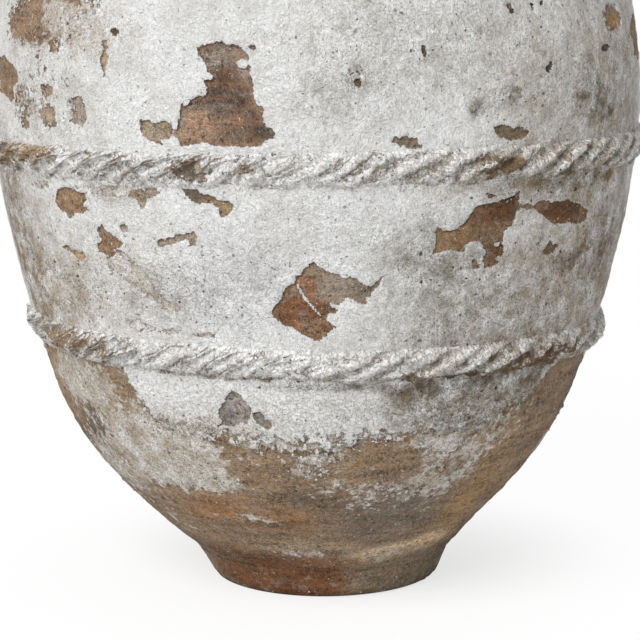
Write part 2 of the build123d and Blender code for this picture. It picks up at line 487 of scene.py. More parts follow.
# Flakes through the limewash, traced in the photograph in pixels
FLAKES = [
    # tall boot-shaped flake above the upper band, and the tile-shaped one on its left
    [(197, 49), (204, 45), (212, 44), (222, 40), (228, 44), (238, 45), (246, 52), (249, 60), (252, 67), (250, 74),
     (254, 88), (255, 98), (259, 105), (264, 107), (262, 118), (266, 127), (274, 128), (275, 138), (268, 140),
     (257, 146), (232, 147), (210, 145), (204, 141), (198, 145), (181, 146), (178, 140), (172, 134), (177, 128),
     (180, 110), (182, 102), (193, 98), (203, 97), (207, 93), (207, 86), (204, 82), (204, 76), (208, 70), (204, 62)],
    [(140, 121), (148, 120), (155, 122), (165, 121), (171, 123), (172, 130), (174, 134), (170, 138), (160, 139),
     (163, 145), (155, 143), (149, 140), (143, 135), (140, 129)],
    # arrow-shaped flake in the middle
    [(271, 311), (276, 305), (281, 299), (283, 291), (287, 286), (295, 284), (297, 277), (303, 272), (305, 268),
     (309, 264), (314, 263), (320, 266), (324, 271), (340, 275), (345, 279), (349, 276), (356, 279), (366, 286),
     (371, 286), (378, 278), (384, 275), (383, 279), (373, 292), (370, 297), (364, 298), (367, 303), (364, 306),
     (352, 298), (345, 298), (343, 304), (330, 303), (338, 311), (336, 314), (330, 313), (326, 316), (326, 320),
     (338, 328), (332, 330), (326, 337), (318, 340), (312, 338), (301, 333), (298, 329), (284, 324), (275, 317)],
    # fish-shaped flake on the right, the one beside it and the heart above
    [(433, 223), (436, 226), (444, 231), (451, 230), (466, 222), (469, 216), (474, 208), (482, 205), (500, 200),
     (514, 196), (518, 190), (520, 193), (518, 200), (520, 213), (515, 219), (511, 226), (505, 230), (502, 237),
     (503, 251), (500, 258), (494, 263), (482, 262), (486, 252), (481, 242), (475, 242), (467, 245), (464, 251),
     (456, 252), (449, 249), (441, 253), (435, 253), (429, 259), (434, 249), (436, 240), (435, 232)],
    [(521, 206), (528, 208), (534, 205), (538, 201), (546, 200), (556, 202), (566, 200), (582, 205), (588, 211),
     (586, 219), (577, 224), (566, 223), (556, 224), (548, 221), (541, 214), (534, 210)],
    [(493, 128), (499, 125), (509, 125), (512, 130), (516, 126), (522, 127), (527, 132), (526, 137), (519, 139),
     (508, 140), (500, 139), (496, 134)],
    # grey pair low in the middle
    [(219, 410), (222, 404), (226, 400), (226, 396), (229, 391), (236, 390), (241, 393), (242, 398), (250, 406),
     (251, 412), (248, 424), (244, 424), (243, 420), (239, 424), (232, 427), (220, 424), (222, 419), (220, 414)],
    [(253, 412), (260, 411), (264, 414), (266, 419), (270, 420), (271, 426), (268, 429), (257, 423), (253, 417)],
    # under and above the upper band
    [(180, 184), (188, 182), (196, 187), (200, 193), (208, 194), (214, 198), (222, 202), (230, 201), (234, 206),
     (230, 213), (226, 217), (218, 216), (220, 208), (213, 203), (199, 205), (186, 195)],
    [(133, 195), (140, 194), (146, 190), (150, 184), (157, 188), (162, 193), (155, 197), (148, 197), (147, 204),
     (143, 209), (140, 203), (137, 198)],
    [(391, 138), (398, 137), (408, 137), (416, 139), (418, 144), (424, 147), (420, 149), (412, 149), (405, 146),
     (399, 147), (396, 143), (392, 142)],
    # small ones on the left
    [(58, 190), (64, 187), (74, 188), (80, 192), (86, 192), (88, 200), (84, 204), (90, 210), (85, 213), (78, 212),
     (72, 218), (66, 213), (60, 207), (57, 200)],
    [(98, 228), (103, 224), (106, 230), (112, 232), (118, 237), (124, 242), (122, 247), (116, 248), (108, 254),
     (101, 252), (98, 244), (102, 240)],
    [(63, 247), (68, 243), (72, 248), (78, 251), (84, 252), (88, 257), (82, 261), (77, 257), (70, 251)],
    [(156, 242), (164, 238), (174, 236), (182, 233), (190, 232), (196, 231), (198, 238), (196, 245), (190, 246),
     (190, 240), (180, 241), (170, 244), (163, 247)],
    [(121, 227), (125, 224), (130, 226), (128, 232), (123, 233)],
    [(0, 58), (6, 56), (12, 64), (18, 70), (19, 80), (14, 88), (16, 100), (12, 103), (8, 95), (2, 92)],
    [(111, 29), (116, 28), (120, 32), (117, 36), (112, 35)],
    [(103, 40), (107, 41), (108, 48), (106, 52), (109, 58), (107, 62), (106, 70), (104, 78), (101, 60), (103, 50)],
    # small ones in the middle and on the right
    [(422, 46), (426, 46), (427, 53), (425, 57), (422, 52)],
    [(544, 72), (547, 66), (551, 59), (553, 63), (550, 70), (548, 74)],
    [(507, 3), (512, 4), (515, 12), (510, 14)],
    [(600, 48), (606, 42), (609, 46), (606, 51), (602, 52)],
    [(485, 194), (491, 193), (496, 196), (490, 199)],
    [(542, 254), (545, 246), (549, 239), (552, 243), (554, 250), (549, 254)],
    [(470, 260), (474, 257), (480, 266), (478, 271), (473, 268)],
    [(484, 262), (492, 260), (500, 260), (494, 266), (486, 268)],
    [(519, 204), (526, 203), (534, 205), (528, 209), (521, 208)],
    [(540, 250), (548, 247), (556, 242), (558, 246), (552, 251), (544, 254)],
    [(250, 45), (254, 44), (257, 48), (253, 50), (250, 49)],
    [(350, 76), (353, 71), (358, 70), (361, 73), (360, 75), (355, 73), (352, 78)],
    [(353, 81), (357, 79), (361, 78), (363, 82), (359, 86), (354, 84)],
    [(433, 49), (437, 50), (435, 53)],
    [(529, 2), (533, 3), (535, 9), (532, 11), (530, 7)],
    [(540, 2), (543, 2), (543, 9), (540, 7)],
    # specks in the worn coat on the upper left
    [(51, 44), (56, 43), (58, 48), (57, 53), (53, 53), (51, 49)],
    [(35, 54), (39, 54), (40, 58), (36, 59)],
    [(45, 66), (48, 67), (47, 72), (45, 71)],
    [(42, 86), (48, 84), (54, 88), (53, 95), (47, 98), (43, 93)],
    [(44, 108), (51, 106), (57, 112), (55, 121), (48, 124), (43, 117)],
    [(70, 119), (74, 118), (75, 122), (71, 123)],
    [(76, 96), (82, 97), (85, 106), (88, 121), (83, 127), (77, 122), (75, 110)],
    [(24, 118), (30, 120), (31, 128), (26, 130)],
]

# Worn places of the limewash: middle and half sizes in pixels, and the loss; a sound coat counts as SOUND
WORN_SPOTS = [
    (45, 8, 70, 30, 19), (12, 25, 14, 20, 8), (60, 4, 40, 12, 8), (30, 30, 26, 14, 9), (78, 110, 10, 16, 18),
    (50, 120, 10, 14, 15), (20, 108, 18, 24, 11), (45, 75, 50, 46, 12), (26, 205, 26, 60, 9), (75, 296, 46, 30, 12),
    (40, 268, 20, 40, 7), (95, 250, 40, 44, 7),
    # strip of an older wash laid bare, from the small flakes down to the lower rope
    (120, 262, 14, 12, 19), (138, 276, 13, 12, 20), (154, 292, 13, 11, 20), (172, 306, 13, 7, 20),
    (140, 326, 16, 7, 20), (172, 331, 20, 5, 19), (205, 335, 16, 4, 18),
    # on the right side, along the ropes and above the worn edge
    (60, 286, 20, 10, 10), (545, 245, 50, 16, 11), (595, 250, 18, 34, 10), (600, 95, 22, 40, 8), (570, 300, 34, 34, 9),
    (480, 300, 34, 16, 8), (612, 18, 11, 18, 24), (560, 385, 18, 26, 17), (500, 408, 50, 30, 8), (450, 398, 30, 20, 5),
    (116, 395, 30, 22, 9), (80, 366, 34, 14, 13), (410, 376, 70, 6, 9), (560, 132, 40, 14, 9), (168, 215, 4, 12, 12),
    (125, 190, 34, 9, 19), (470, 112, 8, 8, 9), (60, 160, 50, 8, 8), (60, 186, 50, 8, 9), (590, 180, 30, 20, 8),
]

# Scraps of limewash left below its edge: middle and half sizes in pixels, and how much of the coat is left
SCRAPS = [
    (310, 469, 40, 17, 14), (345, 446, 30, 8, 2), (436, 454, 26, 20, 11), (395, 488, 34, 13, 12),
    (478, 430, 46, 24, 8), (150, 440, 60, 16, 4), (120, 400, 30, 20, 6), (255, 446, 20, 8, 4), (300, 552, 50, 5, 9),
    (410, 540, 36, 5, 5), (150, 500, 40, 14, 8), (100, 440, 20, 30, 7),
]

# Scraps left inside the flakes, traced in pixels
SCRAPS_IN_FLAKES = [
    [(296, 284), (298.5, 284), (304.6, 295.4), (313.6, 305.4), (321.5, 314.4), (320, 316), (311.6, 307.4),
     (302.6, 297.6)],
    [(204, 73), (209, 72), (214, 77), (211, 80), (205, 79)],
    [(236, 62), (243, 58), (249, 62), (246, 69), (239, 68)],
    [(182, 101), (190, 99), (189, 104), (184, 107)],
    [(464, 246), (470, 242), (478, 242), (480, 247), (478, 254), (472, 253), (469, 249)],
    [(493, 243), (500, 242), (499, 246), (494, 246)],
    [(495, 257), (499, 255), (500, 258), (496, 260)],
    [(446, 227), (456, 226), (457, 229), (448, 231)],
    [(515, 212), (520, 210), (520, 217), (516, 218)],
]

# Edge where the limewash ends above the foot, in pixels
COAT_EDGE = [
    (48, 335), (75, 352), (105, 364), (128, 380), (142, 404), (165, 420), (200, 431), (240, 436), (270, 438),
    (300, 438), (345, 439), (372, 432), (400, 429), (425, 424), (450, 424), (490, 420), (525, 405), (545, 378),
    (566, 352),
]

# Thin film of dirty wash that still clings to the clay below that edge: middle and half sizes in pixels, and amount
FILMS = [
    (172, 456, 50, 32, 24), (150, 440, 44, 20, 14), (225, 486, 26, 8, 12), (248, 518, 26, 6, 9), (290, 548, 56, 7, 6),
    (312, 556, 46, 4, 8), (412, 540, 40, 7, 1), (390, 553, 30, 7, 8), (300, 452, 60, 20, 4), (340, 490, 50, 20, 6),
    (400, 495, 50, 18, 7), (450, 470, 40, 24, 8), (490, 425, 50, 30, 10), (430, 440, 40, 14, 7),
    (118, 462, 30, 34, 12), (180, 520, 26, 12, 6), (90, 390, 40, 26, 12), (70, 366, 30, 24, 8), (75, 18, 50, 24, 14),
    (78, 110, 16, 22, 26), (50, 118, 14, 16, 20), (130, 190, 40, 12, 26), (145, 285, 46, 34, 30),
    (170, 328, 60, 12, 30), (75, 296, 46, 30, 16), (26, 205, 26, 60, 14), (95, 250, 40, 44, 10),
]

# Tints of the bare clay, and a painted shade on the foot: middle and half sizes in pixels, colour and strength
CLAY = (140, 119, 96)
CLAY_TINTS = [
    (228, 90, 34, 60, (126, 96, 76), 0.9), (222, 55, 20, 16, (132, 120, 108), 0.9),
    (195, 128, 18, 20, (150, 121, 100), 0.9), (215, 108, 26, 9, (112, 102, 94), 0.8),
    (228, 75, 14, 12, (92, 66, 52), 0.9), (262, 132, 16, 10, (72, 62, 54), 0.9),
    (245, 70, 8, 12, (165, 150, 138), 0.6), (156, 131, 18, 12, (154, 138, 119), 1.0),
    (298, 312, 26, 28, (123, 82, 55), 1.0), (312, 328, 20, 12, (148, 114, 88), 1.0),
    (342, 288, 30, 17, (139, 127, 113), 1.0), (308, 286, 8, 10, (134, 92, 66), 0.9),
    (322, 308, 14, 8, (110, 74, 50), 0.9), (364, 296, 10, 10, (120, 108, 94), 0.8),
    (452, 240, 22, 16, (130, 105, 77), 1.0), (492, 215, 26, 22, (108, 79, 53), 1.0),
    (510, 205, 10, 12, (86, 58, 38), 0.9), (495, 252, 14, 12, (104, 76, 52), 1.0),
    (562, 212, 30, 14, (99, 65, 38), 1.0), (510, 132, 20, 10, (116, 100, 79), 1.0),
    (236, 410, 18, 18, (148, 143, 137), 1.2), (264, 420, 10, 8, (136, 130, 122), 1.0),
    (192, 190, 16, 12, (98, 90, 80), 1.0), (226, 208, 10, 8, (150, 128, 98), 1.0),
    (404, 142, 18, 8, (118, 108, 96), 1.0), (72, 202, 20, 18, (150, 122, 96), 1.0),
    (110, 242, 16, 14, (146, 118, 92), 1.0), (8, 80, 12, 26, (140, 116, 92), 1.0),
    (40, 12, 70, 30, (150, 124, 100), 1.0), (548, 247, 8, 9, (112, 90, 66), 1.0),
    (250, 468, 40, 18, (146, 123, 98), 1.0), (390, 455, 36, 20, (142, 120, 95), 1.0),
    (215, 508, 40, 12, (148, 110, 75), 1.0), (285, 520, 34, 12, (143, 109, 77), 1.0),
    (390, 515, 60, 26, (120, 107, 93), 1.1), (320, 500, 40, 12, (120, 102, 84), 1.0),
    (465, 500, 16, 30, (164, 133, 94), 1.0), (500, 440, 20, 26, (154, 128, 97), 1.0),
    (300, 548, 56, 6, (168, 148, 122), 0.9), (372, 554, 22, 6, (212, 190, 162), 1.1),
    (408, 546, 26, 6, (216, 192, 162), 1.1), (430, 537, 16, 6, (210, 182, 148), 1.1),
    (240, 100, 9, 12, (84, 66, 56), 0.8), (222, 92, 12, 6, (86, 78, 72), 0.8), (212, 62, 8, 8, (160, 148, 136), 0.8),
    (236, 135, 16, 6, (98, 80, 68), 0.8), (200, 116, 12, 7, (172, 142, 116), 0.7), (252, 116, 7, 9, (90, 76, 66), 0.8),
    (230, 557, 30, 10, (104, 74, 52), 1.2), (280, 578, 86, 22, (114, 77, 50), 1.4),
    # painted shade on the right of the foot, the side away from the light
    (419, 574, 18, 26, (92, 74, 54), 1.2),
    # dark bottoms of the small pits, and dark grime on the left edge
    (424, 51, 10, 10, (88, 76, 58), 1.2), (548, 66, 10, 12, (84, 74, 58), 1.2), (511, 9, 10, 10, (72, 62, 46), 1.2),
    (605, 47, 10, 10, (84, 72, 54), 1.2), (357, 78, 12, 12, (92, 78, 58), 1.2), (535, 6, 10, 10, (78, 66, 48), 1.2),
    (612, 18, 14, 20, (156, 126, 88), 1.2), (94, 420, 12, 22, (92, 80, 68), 1.0),
    # small flakes on the left, and the bare clay low on the left and on the foot
    (105, 56, 8, 24, (160, 140, 118), 1.0), (81, 112, 12, 22, (168, 156, 142), 1.0),
    (48, 104, 16, 26, (158, 140, 120), 1.0), (176, 239, 30, 12, (150, 136, 118), 1.0),
    (148, 197, 18, 14, (154, 142, 126), 1.0), (75, 252, 18, 12, (164, 138, 110), 0.9),
    (125, 229, 8, 8, (164, 154, 140), 1.0), (60, 370, 30, 30, (158, 134, 108), 0.8),
    (385, 574, 36, 22, (140, 122, 100), 1.2), (160, 480, 30, 20, (144, 124, 102), 0.9),
]

# Patch on the foot where a later repair or a drip ends in a straight edge, traced in pixels
FOOT_PATCH = [
    (357, 565), (380, 560), (410, 553), (432, 546), (440, 556), (436, 572), (420, 586), (396, 592), (358, 598),
]
FOOT_PATCH_TONE = chip(130, 115, 94)

# Sharpness of the patch's edge, per millimetre
FOOT_PATCH_EDGE = 1.2

# Lengths up the wall between which the painted contact shadow at the floor fades out on the foot, and how much light it
# leaves
FOOT_CONTACT_SHADE = (0.003, 0.016)
FOOT_CONTACT_SHADE_LIGHT = (0.4, 1.0)

# Dirt and soot over the limewash, and a painted shade under the lower rope: middle and half sizes in pixels, colour and
# strength
COAT_DIRT_AND_SHADE = [
    (588, 90, 12, 24, (92, 84, 74), 0.9), (605, 104, 9, 14, (76, 68, 56), 0.8), (475, 110, 7, 9, (92, 84, 70), 0.9),
    (508, 92, 9, 7, (106, 98, 88), 0.95), (500, 100, 24, 10, (150, 140, 128), 0.45),
    (600, 245, 14, 26, (104, 84, 60), 0.75), (580, 176, 40, 10, (96, 84, 66), 0.6),
    (575, 258, 24, 8, (88, 72, 52), 0.85), (560, 90, 70, 110, (166, 151, 124), 0.44),
    (590, 290, 60, 70, (160, 134, 98), 0.58), (500, 350, 90, 46, (152, 137, 110), 0.48),
    (460, 300, 74, 46, (160, 154, 141), 0.52), (450, 405, 70, 26, (148, 133, 110), 0.50),
    (230, 290, 70, 44, (196, 196, 200), 0.30), (165, 300, 50, 34, (176, 174, 172), 0.30),
    (28, 240, 34, 80, (172, 152, 126), 0.55), (14, 200, 10, 60, (138, 122, 100), 0.6),
    (34, 280, 12, 50, (142, 122, 96), 0.6), (60, 300, 44, 34, (176, 152, 122), 0.5),
    (20, 70, 30, 70, (190, 170, 146), 0.24), (357, 76, 11, 10, (128, 116, 98), 0.9),
    (70, 30, 50, 24, (206, 186, 164), 0.6), (110, 190, 34, 12, (160, 148, 132), 0.5),
    (410, 40, 110, 60, (184, 178, 166), 0.36), (190, 425, 80, 14, (206, 194, 178), 0.6),
    (505, 408, 60, 36, (134, 113, 84), 0.75), (440, 402, 50, 24, (140, 128, 112), 0.5),
    (505, 374, 70, 8, (116, 102, 82), 0.8), (60, 110, 40, 40, (186, 170, 150), 0.2),
    (480, 180, 60, 30, (172, 157, 132), 0.36), (622, 110, 30, 130, (150, 124, 86), 0.55),
    (330, 240, 120, 50, (204, 204, 204), 0.12), (430, 250, 60, 34, (168, 163, 154), 0.5),
    (340, 100, 50, 26, (158, 154, 146), 0.22), (320, 415, 60, 18, (206, 200, 190), 0.2),
    (560, 180, 70, 30, (160, 140, 106), 0.42), (110, 270, 60, 50, (198, 184, 164), 0.35),
    (550, 250, 60, 50, (162, 136, 100), 0.34), (305, 462, 70, 20, (232, 208, 176), 0.5),
    (425, 466, 60, 26, (222, 198, 166), 0.5),
    # painted shade in a dark line under the lower rope
    (165, 361, 30, 3, (104, 90, 74), 0.6), (235, 376, 44, 3, (96, 84, 70), 0.7), (330, 386, 60, 4, (92, 80, 66), 0.8),
    (430, 387, 50, 5, (86, 74, 58), 0.9), (510, 378, 44, 6, (90, 76, 58), 0.9),
]

# Flakes and worn or stained spots on the side that the photograph doesn't show, from a fixed seed: how many,
# the azimuths, lengths up the wall and sizes that they are drawn from, and the wear, scraps, film and dirt of a spot
UNSEEN_SEED = 17
UNSEEN_FLAKES = 46
UNSEEN_SPOTS = 60
UNSEEN_SIDE = (math.radians(72), 2 * math.pi - math.radians(72))
FLAKE_ARC = (0.30, 1.02)
FLAKE_CORNERS = (12, 20)
FLAKE_SIZE = (0.006, 0.028)
FLAKE_RAGGED = (0.75, 1.15)
FLAKE_WIDTH = (0.8, 1.9)
SPOT_ARC = (0.02, 1.05)
SPOT_HALF_WIDTH = (0.02, 0.09)
SPOT_HALF_HEIGHT = (0.012, 0.05)
SPOT_KIND = (-1, 1)
SPOT_DRAWS = (UNSEEN_SIDE, SPOT_ARC, SPOT_HALF_WIDTH, SPOT_HALF_HEIGHT, SPOT_KIND)
UNSEEN_WEAR = 13
UNSEEN_SCRAP = 11
UNSEEN_FILM = 24
UNSEEN_DIRT = 0.4
chance = np.random.default_rng(UNSEEN_SEED)


def unseen_outline():
    """Ragged outline of a flake somewhere on the side that the photograph doesn't show."""
    centre = chance.uniform(*UNSEEN_SIDE), chance.uniform(*FLAKE_ARC)
    corners = chance.integers(*FLAKE_CORNERS)
    turn = np.sort(chance.uniform(0, 2 * math.pi, corners))
    size = chance.uniform(*FLAKE_SIZE) * chance.uniform(*FLAKE_RAGGED, corners)
    wide = chance.uniform(*FLAKE_WIDTH)
    radius = radius_up(centre[1])
    return np.stack([centre[0] + size * wide * np.cos(turn) / radius, centre[1] + size * np.sin(turn)], axis=1)


flake_outlines = [from_photo(pixels) for pixels in FLAKES] + [unseen_outline() for _ in range(UNSEEN_FLAKES)]
scrap_outlines = [from_photo(pixels) for pixels in SCRAPS_IN_FLAKES]
foot_patch = from_photo(FOOT_PATCH)
unseen_spots = [[chance.uniform(*limits) for limits in SPOT_DRAWS] for _ in range(UNSEEN_SPOTS)]
edge_azimuth, edge_arc = from_photo(COAT_EDGE).T
REDDER_CLAY = np.array(chip(140, 98, 68))
GREYER_CLAY = np.array(chip(118, 104, 90))
DUST = chip(150, 138, 122)[:3]

# Worn edge of the coat: how fast the coat gets sound above it in millimetres per metre, its height on the unseen side,
# the length up the wall above which a spot there is worn coat, and the azimuths over which the traced edge gives way
WEAR_RATE = 420
UNSEEN_EDGE = 0.213
UNSEEN_COAT = 0.28
SEEN_TURN = 1.3
SEEN_FADE = 0.5

# Film: none, the most there is, washed out of a flake, the distance from a flake that it keeps, and how much longer
# than the coat it lasts
NO_FILM = -9.0
FULL_FILM = 14
CLEAN_CLAY = -30
FILM_MARGIN = 4
FILM_LASTS = 1
MOST_DIRT = 0.85

# How firmly scraps hold inside the flakes, and how far the shade of a flake's edge reaches
SCRAP_HOLD = 4
LEE = 0.0015


def clear_of_flakes(azimuth, arc):
    """How far in millimetres places on the wall lie outside the flakes, negative inside them."""
    clear = np.full(len(arc), FAR)
    for outline in flake_outlines:
        clear = np.minimum(clear, -outline_depth(azimuth, arc, outline))
    for outline in scrap_outlines:
        clear = np.maximum(clear, outline_depth(azimuth, arc, outline) * SCRAP_HOLD)
    return clear


def weathering(azimuth, arc):
    """Limewash, film, clay tint, dirt and painted shade on places of the outer wall."""
    turn = (azimuth + math.pi) % (2 * math.pi) - math.pi
    wander = arc_at(UNSEEN_EDGE) + 0.007 * np.sin(3 * turn) + 0.005 * np.sin(7 * turn + 1)
    hidden = np.clip((np.abs(turn) - SEEN_TURN) / SEEN_FADE, 0, 1)
    edge = np.interp(turn, edge_azimuth, edge_arc) * (1 - hidden) + wander * hidden
    worn = np.clip((arc - edge) * WEAR_RATE, GONE, SOUND)
    worn = worn - spots(azimuth, arc, WORN_SPOTS) + spots(azimuth, arc, SCRAPS)
    film = NO_FILM + spots(azimuth, arc, FILMS)
    clay = tinted(azimuth, arc, CLAY, CLAY_TINTS)
    dirt_and_shade = np.tile((*DUST, 0.0), (len(arc), 1))
    for *where, colour, strength in COAT_DIRT_AND_SHADE:
        share = spot(azimuth, arc, *where) * strength
        total = dirt_and_shade[:, 3] + share
        mix = np.divide(share, total, out=np.zeros_like(share), where=total > 1e-4)[:, None]
        dirt_and_shade[:, :3] = dirt_and_shade[:, :3] * (1 - mix) + np.array(chip(*colour))[:3] * mix
        dirt_and_shade[:, 3] = np.clip(total, 0, MOST_DIRT)
    for middle, up, wide, high, kind in unseen_spots:
        share = fading(on_wall(azimuth, arc, (middle, up)) / (wide, high))
        worn = worn - share * (UNSEEN_WEAR if up > UNSEEN_COAT else -UNSEEN_SCRAP) * abs(kind)
        film = film + share * UNSEEN_FILM * max(kind, 0)
        tint = REDDER_CLAY if kind > 0 else GREYER_CLAY
        clay = clay * (1 - share[:, None]) + tint * share[:, None]
        dirt_and_shade[:, 3] = np.clip(dirt_and_shade[:, 3] + share * UNSEEN_DIRT, 0, MOST_DIRT)
    flaked = clear_of_flakes(azimuth, arc)
    lee = clear_of_flakes(azimuth - LEE / radius_up(arc), arc + LEE)
    film = np.where(flaked < FILM_MARGIN, CLEAN_CLAY, np.maximum(film, worn + FILM_LASTS))
    patched = np.clip(outline_depth(azimuth, arc, foot_patch) * FOOT_PATCH_EDGE + 0.5, 0, 1)[:, None]
    clay = clay * (1 - patched) + np.array(FOOT_PATCH_TONE) * patched
    # painted contact shadow: the foot's clay darkened towards the floor
    clay = clay * np.interp(arc, FOOT_CONTACT_SHADE, FOOT_CONTACT_SHADE_LIGHT)[:, None]
    return {
        "flaked": flaked,
        "lee": lee,
        "worn": np.clip(worn, GONE, SOUND),
        "film": np.clip(film, CLEAN_CLAY, FULL_FILM),
        "clay": clay,
        "dirt_and_shade": dirt_and_shade,
    }


def ragged(place, flaked, worn):
    """Where a coat holds, in millimetres above 0: sharp and jagged round flakes, crumbling away where it is worn."""
    jagged = clouds(place, 0.010, 4, 0.65) * 2.0 + clouds(place, 0.0030, 2, 0.5) * 1.2
    crumbling = clouds(place, 0.028, 2, 0.6) * 4.0 + clouds(place, 0.0095, 3, 0.6) * 6.5
    crumbling = crumbling + clouds(place, 0.0042, 2, 0.5) * 4.0
    return (flaked + jagged).least(worn + crumbling)


def hand_waver(place):
    """How far a wall raised by hand strays in or out, in metres."""
    return clouds(place, 0.17, 2, 0.4) * 0.0020 + clouds(place, 0.032, 2, 0.5) * 0.0008


def piece_tree(name, sizes):
    """Empty geometry tree with the mesh to work on, named sizes and a material."""
    inputs = {"Mesh": "Geometry", **dict.fromkeys(sizes, "Float"), "Finish": "Material"}
    return open_tree(name, "GeometryNodeTree", inputs, {"Mesh": "Geometry"})


def live(sockets, name):
    """The one of several sockets of a name that a node uses at its setting."""
    return next(socket for socket in sockets if socket.name == name and socket.enabled)


def kept(tree, label, kind="FLOAT"):
    """What was noted for each point of the mesh."""
    node = tree.nodes.new("GeometryNodeInputNamedAttribute")
    node.data_type = kind
    feed(node.inputs["Name"], label)
    return Field(tree, live(node.outputs, "Attribute"))


def keep(mesh, label, value, kind="FLOAT"):
    """Note a value for each point, and hand the mesh on."""
    node = mesh.tree.nodes.new("GeometryNodeStoreNamedAttribute")
    node.data_type = kind
    node.domain = "POINT"
    feed(node.inputs["Geometry"], mesh)
    feed(node.inputs["Name"], label)
    feed(live(node.inputs, "Value"), value)
    return Field(mesh.tree, node.outputs[0])


def pushed(mesh, distance):
    """Mesh with each point moved outwards by a distance."""
    outward = kept(mesh.tree, "outward", "FLOAT_VECTOR")
    return add_node(mesh.tree, "GeometryNodeSetPosition", {"Geometry": mesh, "Offset": brighten(outward, distance)})[0]


def close_tree(mesh, finish, result):
    """End a tree with real geometry and its finish."""
    real = add_node(mesh.tree, "GeometryNodeRealizeInstances", (mesh,))[0]
    dressed = add_node(mesh.tree, "GeometryNodeSetMaterial", {"Geometry": real, "Material": finish})[0]
    feed(result["Mesh"], dressed)


def shape_piece(piece, tree, finish, **sizes):
    """Run a tree on a piece with its sizes and finish, and keep the result as a plain mesh."""
    modifier = piece.modifiers.new(tree.name, "NODES")
    modifier.node_group = tree
    values = {label.replace("_", " "): value for label, value in sizes.items()}
    values["Finish"] = finish
    for item in tree.interface.items_tree:
        if item.in_out == "INPUT" and item.name in values:
            modifier[item.identifier] = values[item.name]
    graph = bpy.context.evaluated_depsgraph_get()
    plain = bpy.data.meshes.new_from_object(piece.evaluated_get(graph), preserve_all_data_layers=True, depsgraph=graph)
    rough = piece.data
    piece.modifiers.remove(modifier)
    piece.data = plain
    bpy.data.meshes.remove(rough)
    plain.name = piece.name


# Skin of a piece: the waver of the hand all over, and outside it the lumps of the clay and the coat where it holds
skin_tree, given, result = piece_tree("Weathered skin", ["Coat", "Waver", "Lumps"])
at = add_node(skin_tree, "GeometryNodeInputPosition")[0]
skin = kept(skin_tree, "skin")
holds = ragged(at, kept(skin_tree, "flaked"), kept(skin_tree, "worn")).rise(-1.0, 1.0)
lumps = clouds(at, 0.012, 4, 0.62) * given["Lumps"]
coat = holds * given["Coat"]
strays = hand_waver(at) * given["Waver"]
mesh = keep(given["Mesh"], "place", at, "FLOAT_VECTOR")
mesh = pushed(mesh, strays + (coat + lumps) * skin)
close_tree(mesh, given["Finish"], result)

# Limewash: chalky white over grey clouds, sandy, with its sand grains lit and shaded in paint, dirt and painted shade
# in its hollows, pinholes down to the clay and freckles
LIME_WHITE = chip(244, 244, 243)
LIME_GREY = chip(212, 210, 205)
PINHOLE = chip(56, 45, 36)
FRECKLE = chip(176, 152, 126)
HOLLOW_DIRT_AND_SHADE = chip(112, 97, 80)
lime_group, given, gives = open_tree(
    "Limewash",
    "ShaderNodeTree",
    {"Place": "Vector", "Dirt": "Color", "Dirtiness": "Float", "Pitting": "Float"},
    {"Color": "Color", "Height": "Float"},
)
place = given["Place"]
uneven = shaken(place, 0.004, 0.0022)
broad = clouds(place, 0.10, 5, 0.6)
cloud = clouds(place, 0.022, 5, 0.68)
ridges = clouds(uneven, 0.0070, 4, 0.62)
sand = clouds(place, 0.0024, 3, 0.65)
grain = clouds(place, 0.0012, 2, 0.6)
layers = clouds(uneven, 0.060, 4, 0.55)
ledges = layers.rise(0.0, 0.03) + layers.rise(0.45, 0.48) + layers.rise(-0.5, -0.47)
relief = ridges * 0.75 + sand * 0.55
pinholes = specks(uneven, 0.0074, 0.65, 0.23)
worms = (0 - clouds(uneven, 0.0054, 2, 0.5).math("ABSOLUTE")).rise(-0.18, -0.02)
pores = specks(stretched(uneven, (1.04, 0.97, 1.02)), 0.0046, 0.55, 0.26)
pocks = specks(stretched(uneven, (0.98, 1.05, 0.95)), 0.0125, 0.6, 0.22)
freckles = clouds(place, 0.014, 4, 0.72).rise(0.55, 1.2)
dirt_shade_share = given["Dirtiness"]
pitted = given["Pitting"]
hollows = (0 - relief).rise(0.1, 1.1)
lime_colour = blend((broad * 0.3 + cloud * 0.4 + 0.3).rise(0, 1), LIME_WHITE, LIME_GREY)
lime_colour = blend(freckles * (dirt_shade_share * 0.6 + 0.22), lime_colour, FRECKLE)
lime_colour = blend((dirt_shade_share * (cloud + 0.7)).most(0).least(1), lime_colour, given["Dirt"])
# tone of the sand grains and painted light and shade on them, stronger where there is dirt
mottle = (grain * 0.15 + sand * 0.13 + ridges * 0.07) * (dirt_shade_share * 1.6 + 0.75)
lime_colour = brighten(lime_colour, mottle + 1.02)
# dirt and painted shade in the hollows of the sand
lime_colour = blend(hollows * (dirt_shade_share * 0.8 + 0.12), lime_colour, HOLLOW_DIRT_AND_SHADE)
lime_colour = blend(worms * (dirt_shade_share * 0.55 + pitted * pitted * 0.55), lime_colour, HOLLOW_DIRT_AND_SHADE)
lime_colour = blend(pores * (dirt_shade_share * 0.8 + 0.5).least(0.95), lime_colour, PINHOLE)
lime_colour = blend(pinholes * (dirt_shade_share + pitted).least(0.95), lime_colour, PINHOLE)
lime_colour = blend(pocks * (dirt_shade_share * 1.7).least(0.9), lime_colour, PINHOLE)
rough = (grain * 0.0004 + sand * 0.0007 + ridges * 0.0014) * (dirt_shade_share * 0.4 + 0.95)
holes = (pinholes + worms * pitted) * 0.0013 + pores * 0.0009 + pocks * dirt_shade_share * 0.002
feed_all(gives, {"Color": lime_colour, "Height": rough + ledges * 0.0008 - holes})

